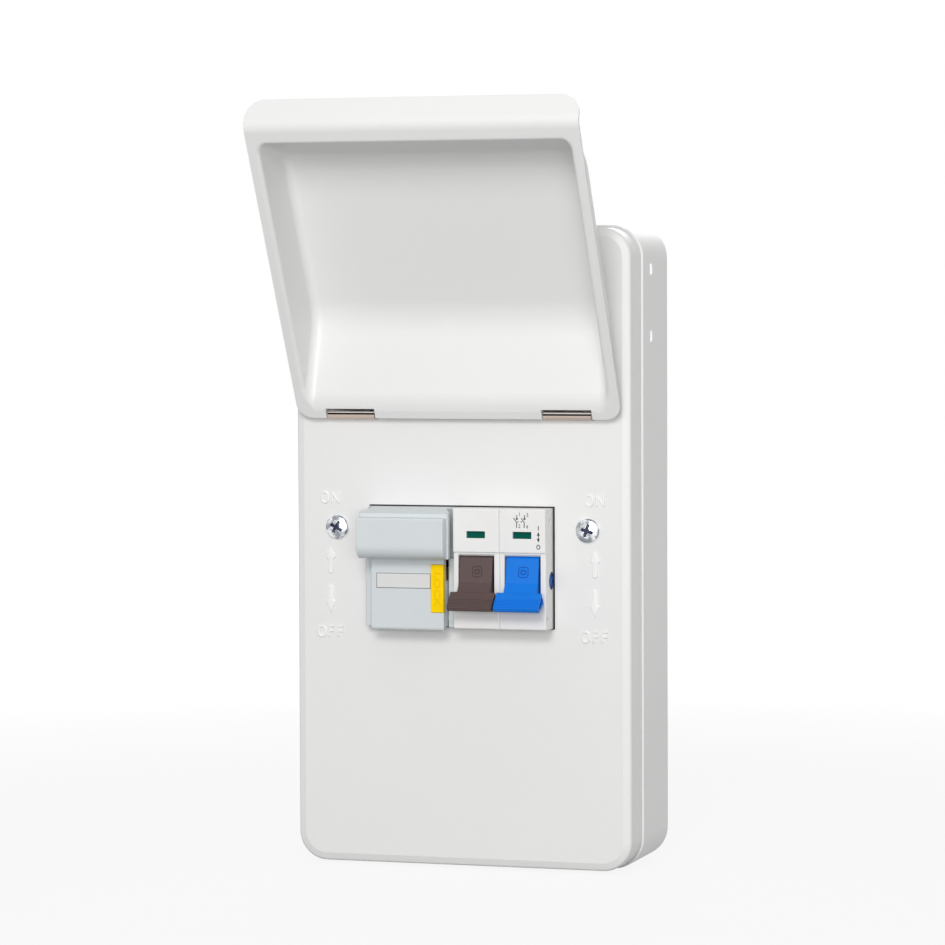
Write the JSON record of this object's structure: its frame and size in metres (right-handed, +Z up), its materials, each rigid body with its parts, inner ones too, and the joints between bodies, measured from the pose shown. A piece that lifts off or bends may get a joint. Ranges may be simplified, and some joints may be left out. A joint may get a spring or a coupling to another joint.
{
  "type": "fuse switch",
  "caption": "Wall-mounted sheet-steel fuse switch with a hinged lid over a swing-out fuse carrier and a paired main switch on a top-hat rail.",
  "frame": {"origin": "centre of the wall face of the back box", "axes": "+X to the right seen from the front, +Y into the wall, +Z up"},
  "size_m": [0.1332, 0.1135, 0.2876],
  "materials": {
    "powder_coat": "satin white powder coat",
    "zinc": "bright zinc plate",
    "nickel": "bright nickel plate",
    "brass": "machined",
    "copper": "rolled strip",
    "ceramic": "unglazed ceramic",
    "fuse_grey": "moulded light grey",
    "switch_white": "moulded white",
    "handle_brown": "moulded dark brown",
    "handle_blue": "moulded blue",
    "flag_green": "green and red position flag",
    "lock_yellow": "moulded yellow",
    "label_white": "paper strip",
    "clip_black": "moulded black"
  },
  "bodies": {
    "enclosure": {"back_box": "powder_coat", "front_cover": "powder_coat", "din_rail": "zinc", "earth_bar": "brass", "fuse_base": "fuse_grey", "fuse_jaw_upper": "copper", "fuse_jaw_lower": "copper", "earth_screw_1": "zinc", "earth_screw_2": "zinc", "earth_screw_3": "zinc", "earth_screw_4": "zinc", "cover_pillar_left": "zinc", "cover_screw_left": "zinc", "hinge_leaf_left": "nickel", "rail_rivet_left": "zinc", "switch_module_left": "switch_white", "switch_terminal_left_upper": "brass", "switch_terminal_screw_left_upper": "zinc", "switch_terminal_left_lower": "brass", "switch_terminal_screw_left_lower": "zinc", "cover_pillar_right": "zinc", "cover_screw_right": "zinc", "hinge_leaf_right": "nickel", "rail_rivet_right": "zinc", "switch_module_right": "switch_white", "switch_terminal_right_upper": "brass", "switch_terminal_screw_right_upper": "zinc", "switch_terminal_right_lower": "brass", "switch_terminal_screw_right_lower": "zinc", "fuse_terminal_upper": "brass", "fuse_terminal_screw_upper": "zinc", "fuse_terminal_lower": "brass", "fuse_terminal_screw_lower": "zinc"},
    "lid": {"lid": "powder_coat", "hinge_pin_left": "nickel", "hinge_pin_right": "nickel"},
    "fuse_carrier": {"fuse_carrier": "fuse_grey", "fuse_tube": "ceramic", "fuse_cap_upper": "nickel", "fuse_cap_lower": "nickel", "label_strip": "label_white"},
    "lock_tab": {"lock_tab": "lock_yellow"},
    "handle_left": {"switch_handle_left": "handle_brown"},
    "handle_right": {"switch_handle_right": "handle_blue"},
    "flag_left": {"switch_flag_left": "flag_green"},
    "flag_right": {"switch_flag_right": "flag_green"},
    "fuse_clip": {"fuse_clip": "clip_black"},
    "switch_clip_left": {"switch_clip_left": "clip_black"},
    "switch_clip_right": {"switch_clip_right": "clip_black"}
  },
  "joints": [
    {"name": "lid_hinge", "type": "hinge", "parent": "enclosure", "child": "lid", "pos_m": [0, -0.0547, 0.05033], "axis": [-1, 0, 0], "range_deg": [-151.66, 0]},
    {"name": "carrier_swing", "type": "hinge", "parent": "enclosure", "child": "fuse_carrier", "pos_m": [-0.0183, -0.0545, -0.02587], "axis": [1, 0, 0], "range_deg": [0, 65]},
    {"name": "lock_slide", "type": "slide", "parent": "fuse_carrier", "child": "lock_tab", "axis": [0, -1, 0], "range_m": [0, 0.008]},
    {"name": "handle_left_flip", "type": "hinge", "parent": "enclosure", "child": "handle_left", "pos_m": [0.009, -0.055, -0.0114], "axis": [-1, 0, 0], "range_deg": [0, 60]},
    {"name": "handle_right_flip", "type": "hinge", "parent": "enclosure", "child": "handle_right", "pos_m": [0.027, -0.055, -0.0114], "axis": [-1, 0, 0], "range_deg": [0, 60]},
    {"name": "flag_left_slide", "type": "slide", "parent": "enclosure", "child": "flag_left", "axis": [0, 0, -1], "range_m": [0, 0.0032]},
    {"name": "flag_right_slide", "type": "slide", "parent": "enclosure", "child": "flag_right", "axis": [0, 0, -1], "range_m": [0, 0.0032]},
    {"name": "fuse_clip_slide", "type": "slide", "parent": "enclosure", "child": "fuse_clip", "axis": [0, 0, -1], "range_m": [0, 0.003], "stiffness_N_per_m": 300, "springref_m": -0.002},
    {"name": "switch_clip_left_slide", "type": "slide", "parent": "enclosure", "child": "switch_clip_left", "axis": [0, 0, -1], "range_m": [0, 0.003], "stiffness_N_per_m": 300, "springref_m": -0.002},
    {"name": "switch_clip_right_slide", "type": "slide", "parent": "enclosure", "child": "switch_clip_right", "axis": [0, 0, -1], "range_m": [0, 0.003], "stiffness_N_per_m": 300, "springref_m": -0.002}
  ],
  "couplings": [
    {"joint": "handle_right_flip", "follows": "handle_left_flip", "ratio": 1},
    {"joint": "flag_left_slide", "follows": "handle_left_flip", "m_per_rad": 0.0030557},
    {"joint": "flag_right_slide", "follows": "handle_left_flip", "m_per_rad": 0.0030557}
  ]
}
